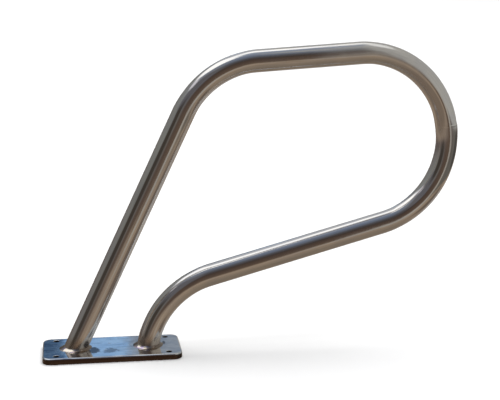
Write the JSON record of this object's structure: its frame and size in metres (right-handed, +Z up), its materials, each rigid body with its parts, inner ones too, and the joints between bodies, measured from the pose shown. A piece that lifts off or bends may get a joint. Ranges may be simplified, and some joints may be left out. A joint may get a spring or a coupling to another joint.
{
  "type": "pool handrail",
  "caption": "Closed-loop polished stainless tube handrail on a rectangular bolt-down base plate, for steadying people beside a pool or spa.",
  "frame": {"origin": "centre of the base plate's underside, on the deck, at the centre of the anchor-bolt pattern", "axes": "+X along the rail towards the water, +Y across the rail, +Z up from the deck"},
  "size_m": [0.9072, 0.127, 0.6702],
  "materials": {
    "polished_tube": "hand-polished stainless steel tube with fine lines along its length",
    "polished_plate": "mirror-polished stainless steel plate with eased edges",
    "weld_metal": "dressed and polished stainless weld with a faint heat tint",
    "mill_steel": "plain mill finish, hidden inside the joint"
  },
  "bodies": {
    "root": {"base_plate": "polished_plate", "upper_rail_tube": "polished_tube", "lower_rail_tube": "polished_tube", "joint_sleeve": "mill_steel", "joint_weld": "weld_metal", "long_leg_weld": "weld_metal", "short_leg_weld": "weld_metal"}
  },
  "joints": []
}
